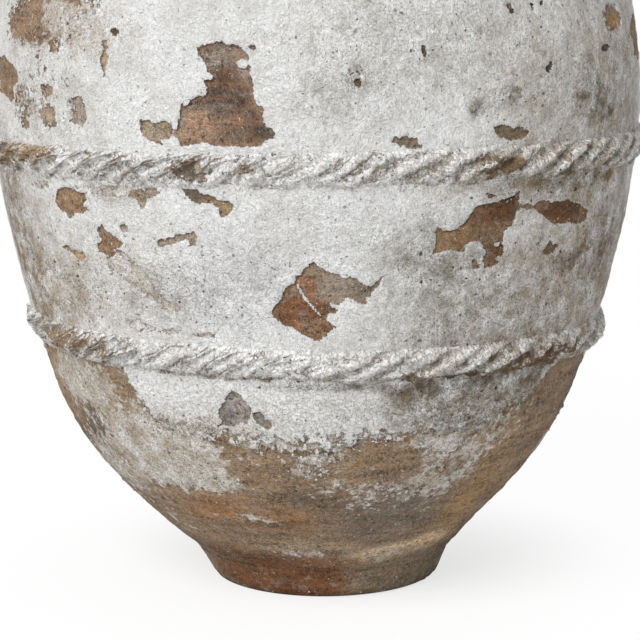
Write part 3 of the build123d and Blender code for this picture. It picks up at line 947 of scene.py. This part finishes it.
# Ragged edge of a coat: where it holds, where it thins out, and the shade that its edge throws on the clay
edge_group, given, gives = open_tree(
    "Ragged edge",
    "ShaderNodeTree",
    {"Place": "Vector", "Flaked": "Float", "Worn": "Float", "Lee": "Float"},
    {"Holds": "Float", "Thins": "Float", "Shade": "Float"},
)
place = given["Place"]
torn = ragged(place, given["Flaked"], given["Worn"])
lee = ragged(place, given["Lee"], given["Worn"] + 1.2)
feed_all(gives, {"Holds": torn.rise(-0.4, 0.4), "Thins": torn.rise(-2.5, 2.5), "Shade": lee.rise(-0.6, 0.8)})

# Film of old wash: tone, dirt and strength; how white the broken edge of the coat is, and how dark the painted shadow
# is that the coat's edge throws on the clay beside it
FILM_TONE = chip(180, 166, 146)
FILM_DIRT = 0.7
FILM_STRENGTH = 0.85
FRESH_EDGE = 0.9
LEE_SHADE = 0.55

# Roughness of the wall, and the soil and painted shade in the creases of what is pressed on it
WALL_ROUGHNESS = 0.88
CREASE_SOIL_AND_SHADE = chip(84, 70, 54)


def painted(tree, label):
    """What a material reads of the notes on the mesh."""
    return add_node(tree, "ShaderNodeAttribute", attribute_name=label)


def limewashed_clay(name, coat_step, streaks, pitting, relief=1.0):
    """Clay under a film of old wash and a coat of limewash, each with its own ragged edge."""
    material, tree = new_material(name)
    place = painted(tree, "place")["Vector"]
    # dirt on the wash, with the painted shade under the ropes laid on with it
    dirt_and_shade = painted(tree, "dirt_and_shade")
    clay = place_group(tree, clay_group, Place=place, Tone=painted(tree, "clay")["Color"], Streaks=streaks)
    lime = place_group(tree, lime_group, Place=place, Dirt=dirt_and_shade["Color"], Dirtiness=dirt_and_shade["Alpha"], Pitting=pitting)
    elsewhere = stretched(place, (0.93, 1.06, -1.04))
    film = place_group(tree, lime_group, Place=elsewhere, Dirt=FILM_TONE, Dirtiness=FILM_DIRT, Pitting=pitting)
    filmed = place_group(tree, edge_group, Place=elsewhere, Flaked=FAR, Lee=FAR, Worn=painted(tree, "film")["Fac"])
    coated = place_group(tree, edge_group, Place=place, Flaked=painted(tree, "flaked")["Fac"],
                         Worn=painted(tree, "worn")["Fac"], Lee=painted(tree, "lee")["Fac"])
    holds = coated["Holds"]
    colour = blend(filmed["Thins"] * FILM_STRENGTH, clay["Color"], film["Color"])
    # painted shadow of the coat's edge on the clay, on the side of each flake away from the light
    colour = brighten(colour, 1 - coated["Shade"] * LEE_SHADE)
    fresh = (1 - coated["Thins"]) * FRESH_EDGE
    colour = blend(holds, colour, blend(fresh, lime["Color"], LIME_WHITE))
    # soil and painted shade in the creases of the ropes
    colour = blend(painted(tree, "soil_and_shade")["Fac"], colour, CREASE_SOIL_AND_SHADE)
    clay_height = clay["Height"]
    height = clay_height + (lime["Height"] * relief - clay_height + coat_step) * holds
    matt_shader(colour, height, WALL_ROUGHNESS)
    return material


wall_finish = limewashed_clay("limewashed wall", COAT_THICKNESS, streaks=0.45, pitting=0.45)
splashed_finish = limewashed_clay("limewash pitted by splashing rain", COAT_THICKNESS, streaks=0.45, pitting=0.7)
INSIDE_CLAY = chip(132, 108, 84)
NO_DIRT = (0.0, 0.0, 0.0, 0.0)
WALL_LUMPS = 0.0009
WALL_STRETCHES = [
    # name, joints below and above, step of the mesh up the outside, steps round the axis, nodes that it stands for
    ("lower_wall", ANKLE, LOWER_BAND, 0.0022, 600, ("wall_course_1", "wall_course_2", "lower_limewash")),
    ("middle_wall", LOWER_BAND, UPPER_BAND, 0.0020, 850, ("wall_course_3", "wall_course_4", "middle_limewash")),
    ("belly_wall", UPPER_BAND, SHOULDER_BAND, 0.0020, 850, ("wall_course_5", "wall_course_6", "belly_limewash")),
    ("shoulder_wall", SHOULDER_BAND, NECK_FOOT, 0.0024, 800, ("wall_course_7", "wall_course_8", "shoulder_limewash")),
]


def note_all(piece, look):
    """Keep every value of a look for the points of a piece."""
    for label, values in look.items():
        note(piece.data, label, values)


def weather(piece, outside, inside_rows, steps):
    """Note the weathering on the outside of a ring, and bare clay on its inside."""
    azimuth = np.tile(turns(steps), len(outside))
    arc = np.repeat(arc_at(outside[:, 1]), steps)
    bare = {"flaked": GONE, "lee": GONE, "worn": GONE, "film": GONE, "clay": INSIDE_CLAY, "dirt_and_shade": NO_DIRT}
    for label, values in weathering(azimuth, arc).items():
        inner = np.tile(bare[label], (inside_rows * steps, 1)).reshape((-1,) + values.shape[1:])
        note(piece.data, label, np.concatenate([values, inner]))
    note(piece.data, "skin", np.repeat([1.0] * len(outside) + [0.0] * inside_rows, steps))


for name, bottom, top, outer_step, steps, nodes in WALL_STRETCHES:
    stretch, outside, inside_rows = wall_stretch(name, bottom, top, outer_step, steps)
    weather(stretch, outside, inside_rows, steps)
    finish = splashed_finish if bottom == ANKLE else wall_finish
    shape_piece(stretch, skin_tree, finish, Coat=COAT_THICKNESS, Waver=1.0, Lumps=WALL_LUMPS)
    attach(stretch, "root")
    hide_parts(*nodes)


# Foot ring: the thick edge that the jar stands on, pressed on round the slab from the same coarse clay.
# Bare, red-brown where it was scorched in the firing and grey-buff elsewhere, rounded and chipped by use.

FOOT_RADIUS = 0.121
FOOT_HEIGHT = 0.034
FOOT_ROUND = 0.010
FLOOR_RADIUS = 0.1069
ANKLE_INSIDE = (0.1224, 0.0496)
FOOT_STEPS = 420
FOOT_MESH_STEP = 0.0022
FOOT_COAT = 0.0004
FOOT_LUMPS = 0.0008

# Rough skin of the foot: between these heights, and outside this radius
FOOT_SKIN = (0.0015, 0.03)
FOOT_SKIN_RADIUS = 0.112

# Points of the mesh round a corner
CORNER_POINTS = 9


def rounded(corners, step):
    """Closed section through corners of (radius, height, rounding), with points at an even step."""
    places = np.array([corner[:2] for corner in corners])
    line = []
    for number, corner in enumerate(corners):
        here = places[number]
        back = places[number - 1] - here
        ahead = places[(number + 1) % len(corners)] - here
        back /= np.linalg.norm(back)
        ahead /= np.linalg.norm(ahead)
        half = math.acos(np.clip(back @ ahead, -1, 1)) / 2
        start = here + back * corner[2] / math.tan(half)
        end = here + ahead * corner[2] / math.tan(half)
        part = np.linspace(0, 1, CORNER_POINTS)[:, None]
        arc = (1 - part) ** 2 * start + 2 * part * (1 - part) * here + part**2 * end
        line.extend(arc if corner[2] else [here])
    return even_line(np.vstack([line, line[:1]]), step)[:-1]


foot_section = rounded(
    [(FLOOR_RADIUS, 0, 0), (FOOT_RADIUS, 0, FOOT_ROUND), (*ANKLE, 0), (*ANKLE_INSIDE, 0),
     (FLOOR_RADIUS, FOOT_HEIGHT, 0)],
    FOOT_MESH_STEP,
)
foot_outside = np.clip((foot_section[:, 0] - FLOOR_RADIUS) / (FOOT_RADIUS - FLOOR_RADIUS), 0, 1)
foot_outside *= np.clip((ANKLE_INSIDE[1] - foot_section[:, 1]) / (ANKLE_INSIDE[1] - FOOT_HEIGHT), 0, 1)
foot = ring("foot_ring", swayed(foot_section, foot_outside, FOOT_STEPS), FOOT_STEPS)
foot_azimuth = np.tile(turns(FOOT_STEPS), len(foot_section))
foot_arc = np.repeat(arc_at(np.minimum(foot_section[:, 1], FOOT_HEIGHT)), FOOT_STEPS)
note_all(foot, weathering(foot_azimuth, foot_arc))
foot_skin = (foot_section[:, 1] > FOOT_SKIN[0]) & (foot_section[:, 1] < FOOT_SKIN[1])
foot_skin &= foot_section[:, 0] > FOOT_SKIN_RADIUS
note(foot.data, "skin", np.repeat(foot_skin * 1.0, FOOT_STEPS))
foot_finish = limewashed_clay("bare foot clay", FOOT_COAT, streaks=0.3, pitting=0.3)
shape_piece(foot, skin_tree, foot_finish, Coat=FOOT_COAT, Waver=0.0, Lumps=FOOT_LUMPS)
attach(foot, "root")
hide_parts("foot_ring")


# Rope bands: three strips of clay laid over the wall joints and pressed slantwise with a finger into a rope.
# Limewashed with the wall, so the creases are clogged where the wash is thick and show clay where it has worn.
# Each strip was pressed on by hand, so its lobes, its depth and its level waver round the jar.

# Half height of a strip, how far it stands out, its root in the wall and the slant of its lobes, then the heights
# of the scales, dents, lips and crust, the skin of wash, the seat of its edges, and the fineness of the mesh
ROPE_HALF = 0.0195
ROPE_PROUD = 0.00506
ROPE_ROOT = 0.006
ROPE_SLANT = 0.95
ROPE_SCALES = 0.0066
ROPE_DENT = 0.0062
ROPE_LIP = 0.0044
ROPE_CRUST = 0.0012
ROPE_SKIN = 0.0012
ROPE_SEAT = 0.0008
ROPE_ROWS = 46
ROPE_STEPS = 1900
ROPES = [
    # name, joint, rise of its right side and fall of its left, number of lobes, soil and painted shade caught under it
    ("lower_rope_band", LOWER_BAND, -0.004, 54, 0.8),
    ("upper_rope_band", UPPER_BAND, 0.004, 61, 0.4),
    ("shoulder_rope_band", SHOULDER_BAND, 0.002, 57, 0.4),
]


def dice(number, seed):
    """Random value from 0 to 1 for a whole number."""
    both = add_node(number.tree, "ShaderNodeCombineXYZ", (number, seed))[0]
    return add_node(number.tree, "ShaderNodeTexWhiteNoise", {"Vector": both}, noise_dimensions="2D")["Value"]


rope_tree, given, result = piece_tree(
    "Finger-pressed rope", ["Lobes", "Slant", "Proud", "Scales", "Dent", "Waver", "Seed"]
)
at = add_node(rope_tree, "GeometryNodeInputPosition")[0]
around = kept(rope_tree, "around")
across = kept(rope_tree, "across")
clogged = kept(rope_tree, "clogged")
pressed = kept(rope_tree, "pressed")
seed = given["Seed"]
proud = given["Proud"]
level = across + clouds(at, 0.05, 2, 0.5) * 0.12
phase = around * given["Lobes"] - level * given["Slant"] - level * level * 0.2
phase = phase + clouds(at, 0.075, 1, 0.5) * 0.34 + clouds(at, 0.012, 3, 0.62) * 0.13
lobe = phase.math("FLOOR")
in_lobe = phase - lobe
own_height = dice(lobe, seed)
own_dent = dice(lobe, seed + 1)
own_level = dice(lobe, seed + 2) * 0.5 - 0.25

# Each press pushed the clay up into a scale with a gentle back and a steep front, and left an oval dent with a lip
scale_level = (level + own_level) * 1.05
leaf = (1 - scale_level * scale_level).most(0).math("POWER", 0.5)
scale = in_lobe.rise(0.0, 0.7) * (1 - in_lobe.rise(0.88, 0.97)) * leaf
to_dent = (in_lobe - 0.44) * 3.0
dent_level = scale_level * 1.45
off_dent = to_dent * to_dent + dent_level * dent_level
dent = (1 - off_dent).most(0).math("POWER", 0.7) * (own_dent * 0.9 + 0.5) * pressed
off_lip = (off_dent - 1.1) * 3.6
upper_side = (dent_level * 0.7 - to_dent).rise(-0.7, 0.5) * 0.75 + 0.25
lip = off_lip.bell() * pressed * upper_side

# Where it was pinched and not pressed, each lobe is a slanting ridge with a narrow crest
twisted = 1 - pressed
ridge = ((in_lobe - 0.55) * 3.2).bell()
open_scale = 1 - clogged
body = (1 - level).rise(0.0, 0.75) * (level + 1.0).rise(0.0, 0.95)
margin = clouds(at, 0.016, 3, 0.6) * 0.10
edge = (margin - across + 1).rise(0.06, 0.28) * (margin + across + 1).rise(0.03, 0.11)
wrinkles = clouds(at, 0.010, 3, 0.6).math("ABSOLUTE").rise(0.0, 0.3)
crust = (clouds(at, 0.0080, 3, 0.6) + clouds(at, 0.021, 2, 0.5) + wrinkles) * ROPE_CRUST
scales = (scale * pressed * 0.45 + ridge * leaf * twisted) * (own_height * 0.75 + 0.55)
scales = scales * given["Scales"]
dents = lip * ROPE_LIP - dent * given["Dent"]
stands = body * proud + (scales + dents * leaf) * open_scale + crust + ROPE_SKIN
strays = hand_waver(at) * given["Waver"]
skin = kept(rope_tree, "skin")
crease = in_lobe.rise(0.90, 0.97) + (1 - in_lobe).rise(0.92, 1.0)
rubbed = (crease * leaf * (own_height * 9 + 8) + lip * 4 + dent * 2.0) * pressed
rubbed = rubbed + (1 - ridge) * leaf * twisted * (own_height * 8 + 11) + (1 - wrinkles) * 8
bared = kept(rope_tree, "worn") - rubbed * open_scale

# Soil and painted shade lie in the creases, round the dents and between the pinched ridges, here more and there less
dent_rim = ((off_dent - 0.95) * 4.5).bell() * pressed
valley = (0.75 - ridge).rise(0.0, 0.6) * twisted
lasting = clouds(at, 0.011, 3, 0.6).rise(-0.5, 0.7)
soil_and_shade = ((crease * pressed).most(dent_rim).most(valley) * leaf * lasting * open_scale * 0.95).least(0.9)
mesh = keep(given["Mesh"], "place", at, "FLOAT_VECTOR")
mesh = keep(mesh, "worn", bared)
mesh = keep(mesh, "soil_and_shade", soil_and_shade * skin)
mesh = pushed(mesh, strays + (stands * edge - ROPE_SEAT) * skin)
close_tree(mesh, given["Finish"], result)

# Bare and clogged places of the ropes: middle and half sizes in pixels, and the loss of wash or the clogging
ROPE_BARE = [
    (40, 150, 26, 14, 12), (190, 170, 18, 12, 12), (500, 165, 26, 14, 12), (575, 152, 50, 14, 4),
    (10, 155, 16, 16, 10), (70, 338, 50, 14, 10), (450, 379, 90, 10, 11), (545, 354, 44, 14, 12), (250, 168, 24, 8, 5),
    (120, 170, 40, 14, 5), (390, 172, 60, 10, 5),
]
ROPE_CLOGGED = [
    (300, 172, 60, 26, 0.30), (400, 165, 60, 20, 0.15), (270, 365, 130, 24, 0.2),
]
ROPE_COAT = 0.0010
ROPE_SOUND = 10.0
ROPE_FILM_LOSS = 2
ROPE_CLOGGING = 0.1
ROPE_CLAY = (156, 132, 106)
ROPE_TINTS = [
    (40, 150, 34, 18, (176, 152, 128), 1.0), (190, 170, 24, 16, (112, 102, 90), 1.0),
    (500, 165, 40, 18, (112, 92, 66), 1.0), (580, 155, 40, 18, (116, 96, 72), 1.0),
    (60, 335, 50, 18, (172, 148, 120), 1.0), (450, 378, 90, 12, (88, 74, 58), 1.0),
    (545, 352, 44, 16, (104, 82, 58), 1.0),
]
ROPE_CREAM = np.array(chip(214, 194, 168))[:3]
# colour of the soil and painted shade under the rope
ROPE_SOIL_AND_SHADE = np.array(chip(84, 72, 58))[:3]

# Dirt and painted shade of the ropes: the share of the wall's, the least and the most; and the level below which soil
# and painted shade are caught
ROPE_DIRT = 0.55
ROPE_LEAST_DIRT = 0.09
ROPE_MOST_DIRT = 0.95
ROPE_UNDERSIDE = -0.56
ROPE_UNDERSIDE_FADE = 0.16

# The left side is pressed into scales and dents, the right side pinched: how far the pressing reaches past the middle
ROPE_PRESSED = 0.45
rope_finish = limewashed_clay("limewashed rope", ROPE_COAT, streaks=0.1, pitting=0.75, relief=0.85)

for number, (name, joint, fall, lobes, soil_and_shade) in enumerate(ROPES):
    turn = turns(ROPE_STEPS)
    middle = arc_at(joint[1]) + fall * np.sin(turn)
    levels = np.linspace(-1, 1, ROPE_ROWS)
    arc = middle + levels[:, None] * ROPE_HALF
    face = np.stack([radius_up(arc), np.interp(arc, seen_arc, seen_line[:, 1])], axis=2)
    root = face[[-1, ROPE_ROWS // 2, 0]] - (ROPE_ROOT, 0)
    rope = ring(name, np.concatenate([face, root]), ROPE_STEPS)
    azimuth = np.tile(turn, ROPE_ROWS)
    across = np.repeat(levels, ROPE_STEPS)
    arc = arc.ravel()
    look = weathering(azimuth, arc)
    look["flaked"] = look["lee"] = np.full(len(azimuth), FAR)
    look["worn"] = ROPE_SOUND - spots(azimuth, arc, ROPE_BARE)
    look["film"] = look["worn"] - ROPE_FILM_LOSS
    look["clogged"] = ROPE_CLOGGING + spots(azimuth, arc, ROPE_CLOGGED)
    look["clay"] = tinted(azimuth, arc, ROPE_CLAY, ROPE_TINTS)
    look["around"] = azimuth / (2 * math.pi)
    look["across"] = across
    look["pressed"] = np.clip(ROPE_PRESSED - np.sin(azimuth), 0, 1)
    look["skin"] = np.ones(len(azimuth))

    # Soil and painted shade caught under the rope, here more and there less, and most on the right
    uneven_soil_and_shade = 0.6 + 0.4 * np.sin(9 * azimuth) * np.sin(23 * azimuth + 1)
    under = np.clip((ROPE_UNDERSIDE - across) / ROPE_UNDERSIDE_FADE, 0, 1)
    soil_and_shade_under = soil_and_shade * under * uneven_soil_and_shade * (1 + 0.4 * np.sin(azimuth))
    tone = (look["dirt_and_shade"][:, :3] + ROPE_CREAM) / 2
    look["dirt_and_shade"][:, :3] = tone + (ROPE_SOIL_AND_SHADE - tone) * soil_and_shade_under[:, None]
    look["dirt_and_shade"][:, 3] = np.clip(look["dirt_and_shade"][:, 3] * ROPE_DIRT + ROPE_LEAST_DIRT + soil_and_shade_under, 0, ROPE_MOST_DIRT)
    for label, values in look.items():
        note(rope.data, label, np.concatenate([values, np.zeros((3 * ROPE_STEPS,) + values.shape[1:])]))
    shape_piece(rope, rope_tree, rope_finish, Lobes=float(lobes), Slant=ROPE_SLANT, Proud=ROPE_PROUD,
                Scales=ROPE_SCALES, Dent=ROPE_DENT, Waver=1.0, Seed=float(number * 10))
    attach(rope, "root")
    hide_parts(name)


# Neck ring: the short waisted neck luted into the opening of the shoulder, smoothed with a wet hand.
# The same coarse clay under limewash, thin and worn on the bore.

NECK_WAIST = (0.165, 0.862)
NECK_BORE = 0.142
NECK_LIP = 0.8267
NECK_INSIDE = (0.1633, 0.8133)
NECK_STEPS = 520
NECK_MESH_STEP = 0.0016
NECK_INSIDE_STEP = 0.003
NECK_LUMPS = 0.0006
NECK_BARE = 0.150

# Coat of the neck and rim: how far below the neck its dirt is taken from, how fast it gets sound outwards
# in millimetres per metre, its soundest, how much longer its film lasts and how unevenly it is worn
MOUTH_DIRT_BELOW = 0.012
MOUTH_WEAR_RATE = 700
MOUTH_SOUND = 9
MOUTH_FILM = 6
MOUTH_UNEVEN = 2.5

# Share of the wall's waver on the neck and rim
MOUTH_WAVER = 0.6


def part_covered(section, steps, bare_radius):
    """Weathering of the neck and rim, which the photograph doesn't show: limewashed outside, worn at the mouth."""
    azimuth = np.tile(turns(steps), len(section))
    look = weathering(azimuth, np.full(len(azimuth), seen_arc[-1] - MOUTH_DIRT_BELOW))
    outwards = np.repeat(section[:, 0], steps) - bare_radius
    look["worn"] = np.clip(outwards * MOUTH_WEAR_RATE, GONE, MOUTH_SOUND)
    look["worn"] += MOUTH_UNEVEN * np.sin(5 * azimuth) * np.cos(2 * azimuth + 1)
    look["film"] = look["worn"] + MOUTH_FILM
    look["flaked"] = look["lee"] = np.full(len(azimuth), FAR)
    look["skin"] = np.ones(len(azimuth))
    return look


neck_outside = smooth_line([NECK_FOOT, NECK_WAIST], NECK_FOOT_LEAN, 0.0, NECK_MESH_STEP)
neck_corners = [NECK_WAIST, (NECK_BORE, NECK_WAIST[1]), (NECK_BORE, NECK_LIP), NECK_INSIDE, NECK_FOOT]
neck_inside = even_line(np.array(neck_corners), NECK_INSIDE_STEP)
neck_section = np.vstack([neck_outside, neck_inside[1:-1]])
neck = ring("neck_ring", neck_section, NECK_STEPS)
note_all(neck, part_covered(neck_section, NECK_STEPS, NECK_BARE))
shape_piece(neck, skin_tree, wall_finish, Coat=COAT_THICKNESS, Waver=MOUTH_WAVER, Lumps=NECK_LUMPS)
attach(neck, "root")
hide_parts("neck_ring")


# Rim roll: the thick rolled mouth, coiled on last and flattened on top, overhanging the neck.
# Limewashed on the outside, rubbed down to the clay along its edges and inside the mouth.

RIM_OUTER = 0.198
RIM_BORE = 0.146
RIM_TOP = 0.900
RIM_UNDERSIDE = 0.874
RIM_OUTER_ROUND = 0.012
RIM_INNER_ROUND = 0.005
RIM_BARE = 0.156
RIM_STEPS = 620
RIM_MESH_STEP = 0.0019
RIM_LUMPS = 0.0010
rim_section = rounded(
    [(*NECK_WAIST, 0), (RIM_OUTER, RIM_UNDERSIDE, RIM_OUTER_ROUND), (RIM_OUTER, RIM_TOP, RIM_OUTER_ROUND),
     (RIM_BORE, RIM_TOP, RIM_INNER_ROUND), (RIM_BORE, NECK_WAIST[1], 0)],
    RIM_MESH_STEP,
)
rim = ring("rim_roll", rim_section, RIM_STEPS)
note_all(rim, part_covered(rim_section, RIM_STEPS, RIM_BARE))
shape_piece(rim, skin_tree, wall_finish, Coat=COAT_THICKNESS, Waver=MOUTH_WAVER, Lumps=RIM_LUMPS)
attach(rim, "root")
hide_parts("rim_roll")


# Floor, light and camera: a white sheet under soft daylight from the upper left, with a weak glow all round.
# The sheet is white to the eye of the camera, a little darker round the jar, and takes the jar's soft shadow.

FLOOR_HALF = 30.0
FLOOR_WHITE = (0.98, 0.98, 0.98, 1.0)
FLOOR_ROUGHNESS = 0.9
GLOW_NEAR = 0.72
GLOW_FAR = 0.97
GLOW_REACH = 0.42


def to_the_eye(tree):
    """1 for rays that the camera sees straight on, mirrored or through glass, 0 for those that only light things."""
    rays = add_node(tree, "ShaderNodeLightPath")
    return rays["Is Camera Ray"].most(rays["Is Glossy Ray"]).most(rays["Is Transmission Ray"])


floor_mesh = bpy.data.meshes.new("floor")
floor_corners = [(FLOOR_HALF * x, FLOOR_HALF * y, 0) for x, y in ((-1, -1), (1, -1), (1, 1), (-1, 1))]
floor_mesh.from_pydata(floor_corners, [], [(0, 1, 2, 3)])
floor = add_object("floor", floor_mesh)
sheet, tree = new_material("white sheet")
shader = tree.nodes["Principled BSDF"]
feed_all(shader.inputs, {"Base Color": FLOOR_WHITE, "Roughness": FLOOR_ROUGHNESS, "Specular IOR Level": 0.0})
glow = add_node(tree, "ShaderNodeEmission")[0]
middle = add_node(tree, "ShaderNodeTexCoord")["Object"]
away = add_node(tree, "ShaderNodeVectorMath", (middle,), operation="LENGTH")["Value"]
# Less of the white glow is mixed in near the foot, so the jar's shadow shows most there and the sheet is painted a
# little darker round the jar
whiteness = away.rise(FOOT_RADIUS, GLOW_REACH) * (GLOW_FAR - GLOW_NEAR) + GLOW_NEAR
lit = Field(tree, shader.outputs[0])
both = add_node(tree, "ShaderNodeMixShader", (to_the_eye(tree) * whiteness, lit, glow))[0]
feed(tree.nodes["Material Output"].inputs["Surface"], both)
floor_mesh.materials.append(sheet)

GLOW_LEVEL = 0.37
GLOW_WHITE = (1.0, 1.0, 1.0, 1.0)
world = bpy.data.worlds.new("studio")
bpy.context.scene.world = world
world.use_nodes = True
tree = world.node_tree
glow_strength = to_the_eye(tree) * (1 - GLOW_LEVEL) + GLOW_LEVEL
feed_all(tree.nodes["Background"].inputs, {"Color": GLOW_WHITE, "Strength": glow_strength})

SUN_FROM = (-0.36, -0.68, 0.64)
SUN_STRENGTH = 3.05
SUN_SOFTNESS = math.radians(38)
sun_lamp = bpy.data.lights.new("soft daylight", "SUN")
sun_lamp.energy = SUN_STRENGTH
sun_lamp.angle = SUN_SOFTNESS
sun = add_object("soft daylight", sun_lamp)
sun.rotation_euler = (math.acos(SUN_FROM[2] / math.dist((0, 0, 0), SUN_FROM)), 0,
                      math.atan2(SUN_FROM[0], -SUN_FROM[1]))

camera_lens = bpy.data.cameras.new("photograph")
camera_lens.lens = LENS
camera_lens.sensor_width = SENSOR
camera = add_object("photograph", camera_lens)
camera.location = EYE
camera.rotation_euler = (math.pi / 2 - TILT, 0, 0)
bpy.context.scene.camera = camera
bpy.context.scene.view_settings.view_transform = "Standard"
